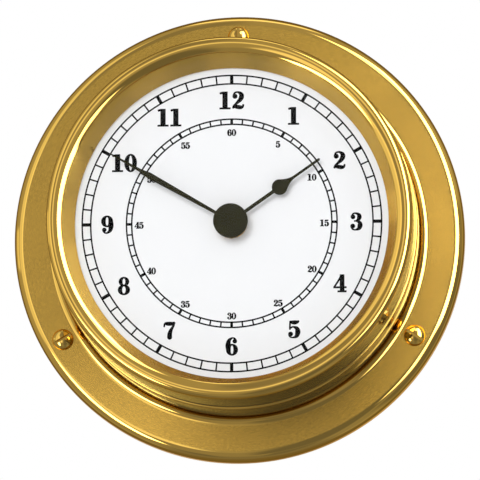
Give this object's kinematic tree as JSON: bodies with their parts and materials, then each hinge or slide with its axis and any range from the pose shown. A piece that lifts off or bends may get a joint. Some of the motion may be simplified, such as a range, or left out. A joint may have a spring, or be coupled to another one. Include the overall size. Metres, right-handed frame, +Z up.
{
  "type": "ships clock",
  "caption": "Round brass ship's clock with a screw-down flange, deep bezel, flat glass, white dial and quartz movement behind; hands and gear train turn on real joints.",
  "frame": {"origin": "centre of the mounting plane, where the dial's axis meets the bulkhead", "axes": "+Z up to twelve o'clock, +X to three o'clock, +Y into the bulkhead; the dial looks along -Y"},
  "size_m": [0.125, 0.0472, 0.125],
  "materials": {
    "satin_brass": "satin, turned in fine circles",
    "polished_brass": "polished",
    "turned_brass": "plain turned",
    "dial_white": "matte white paint",
    "hand_lacquer": "dark satin lacquer",
    "glass": "clear, flat",
    "rubber": "matte",
    "steel": "bright",
    "black_plastic": "fine moulded grain",
    "white_plastic": "moulded",
    "magnet": "sintered",
    "copper": "lacquered copper wire",
    "circuit_green": "coated board",
    "cell_sleeve": "plain sleeve"
  },
  "bodies": {
    "clock": {"flange_case": "satin_brass", "bezel": "polished_brass", "glass_seal": "rubber", "glass": "glass", "rehaut_ring": "polished_brass", "dial": "dial_white", "dial_snap_ring": "steel", "screw_top": "polished_brass", "screw_lower_left": "polished_brass", "screw_lower_right": "polished_brass", "nut_washer": "turned_brass", "fixing_nut": "turned_brass", "dial_cushion": "rubber", "centre_bush": "turned_brass", "movement_housing": "black_plastic", "movement_cover": "black_plastic", "train_plate": "white_plastic", "stator": "steel", "coil_core": "steel", "coil_bobbin": "white_plastic", "coil_winding": "copper", "circuit_board": "circuit_green", "quartz_crystal": "steel", "timing_chip": "black_plastic", "battery": "cell_sleeve", "contact_positive": "steel", "contact_negative": "steel"},
    "minute": {"minute_tube": "turned_brass", "minute_hand": "hand_lacquer", "hub_cap": "hand_lacquer"},
    "hour": {"hour_wheel": "white_plastic", "hour_hand": "hand_lacquer"},
    "minute_wheel": {"minute_wheel": "white_plastic"},
    "setting": {"setting_arbor": "white_plastic", "setting_knob": "black_plastic"},
    "centre_wheel": {"centre_wheel": "white_plastic"},
    "third_wheel": {"third_wheel": "white_plastic"},
    "fourth_wheel": {"fourth_wheel": "white_plastic"},
    "fifth_wheel": {"fifth_wheel": "white_plastic"},
    "rotor": {"rotor_pinion": "white_plastic", "rotor_magnet": "magnet"}
  },
  "joints": [
    {"name": "minute_hand_turn", "type": "hinge", "parent": "clock", "child": "minute", "pos_m": [0, -0.02, 0], "axis": [0, 1, 0], "continuous": true},
    {"name": "hour_hand_turn", "type": "hinge", "parent": "clock", "child": "hour", "pos_m": [0, -0.02, 0], "axis": [0, 1, 0], "continuous": true},
    {"name": "minute_wheel_turn", "type": "hinge", "parent": "clock", "child": "minute_wheel", "pos_m": [0.01, -0.02, 0], "axis": [0, 1, 0], "continuous": true},
    {"name": "setting_knob_turn", "type": "hinge", "parent": "clock", "child": "setting", "pos_m": [0.01999, -0.02, -0.00325], "axis": [0, 1, 0], "continuous": true},
    {"name": "fourth_wheel_turn", "type": "hinge", "parent": "clock", "child": "fourth_wheel", "pos_m": [0, -0.02, 0], "axis": [0, 1, 0], "continuous": true},
    {"name": "fifth_wheel_turn", "type": "hinge", "parent": "clock", "child": "fifth_wheel", "pos_m": [0, -0.02, 0.00735], "axis": [0, 1, 0], "continuous": true},
    {"name": "rotor_turn", "type": "hinge", "parent": "clock", "child": "rotor", "pos_m": [0, -0.02, 0.01365], "axis": [0, 1, 0], "continuous": true},
    {"name": "third_wheel_turn", "type": "hinge", "parent": "clock", "child": "third_wheel", "pos_m": [-0.01, -0.02, 0], "axis": [0, 1, 0], "continuous": true},
    {"name": "centre_wheel_turn", "type": "hinge", "parent": "clock", "child": "centre_wheel", "pos_m": [0, -0.02, 0], "axis": [0, 1, 0], "continuous": true}
  ],
  "couplings": [
    {"joint": "hour_hand_turn", "follows": "minute_hand_turn", "ratio": 0.083333},
    {"joint": "minute_wheel_turn", "follows": "minute_hand_turn", "ratio": -0.25},
    {"joint": "setting_knob_turn", "follows": "minute_hand_turn", "ratio": 0.8},
    {"joint": "fifth_wheel_turn", "follows": "fourth_wheel_turn", "ratio": -6},
    {"joint": "rotor_turn", "follows": "fourth_wheel_turn", "ratio": 30},
    {"joint": "third_wheel_turn", "follows": "fourth_wheel_turn", "ratio": -0.13333},
    {"joint": "centre_wheel_turn", "follows": "fourth_wheel_turn", "ratio": 0.016667}
  ]
}
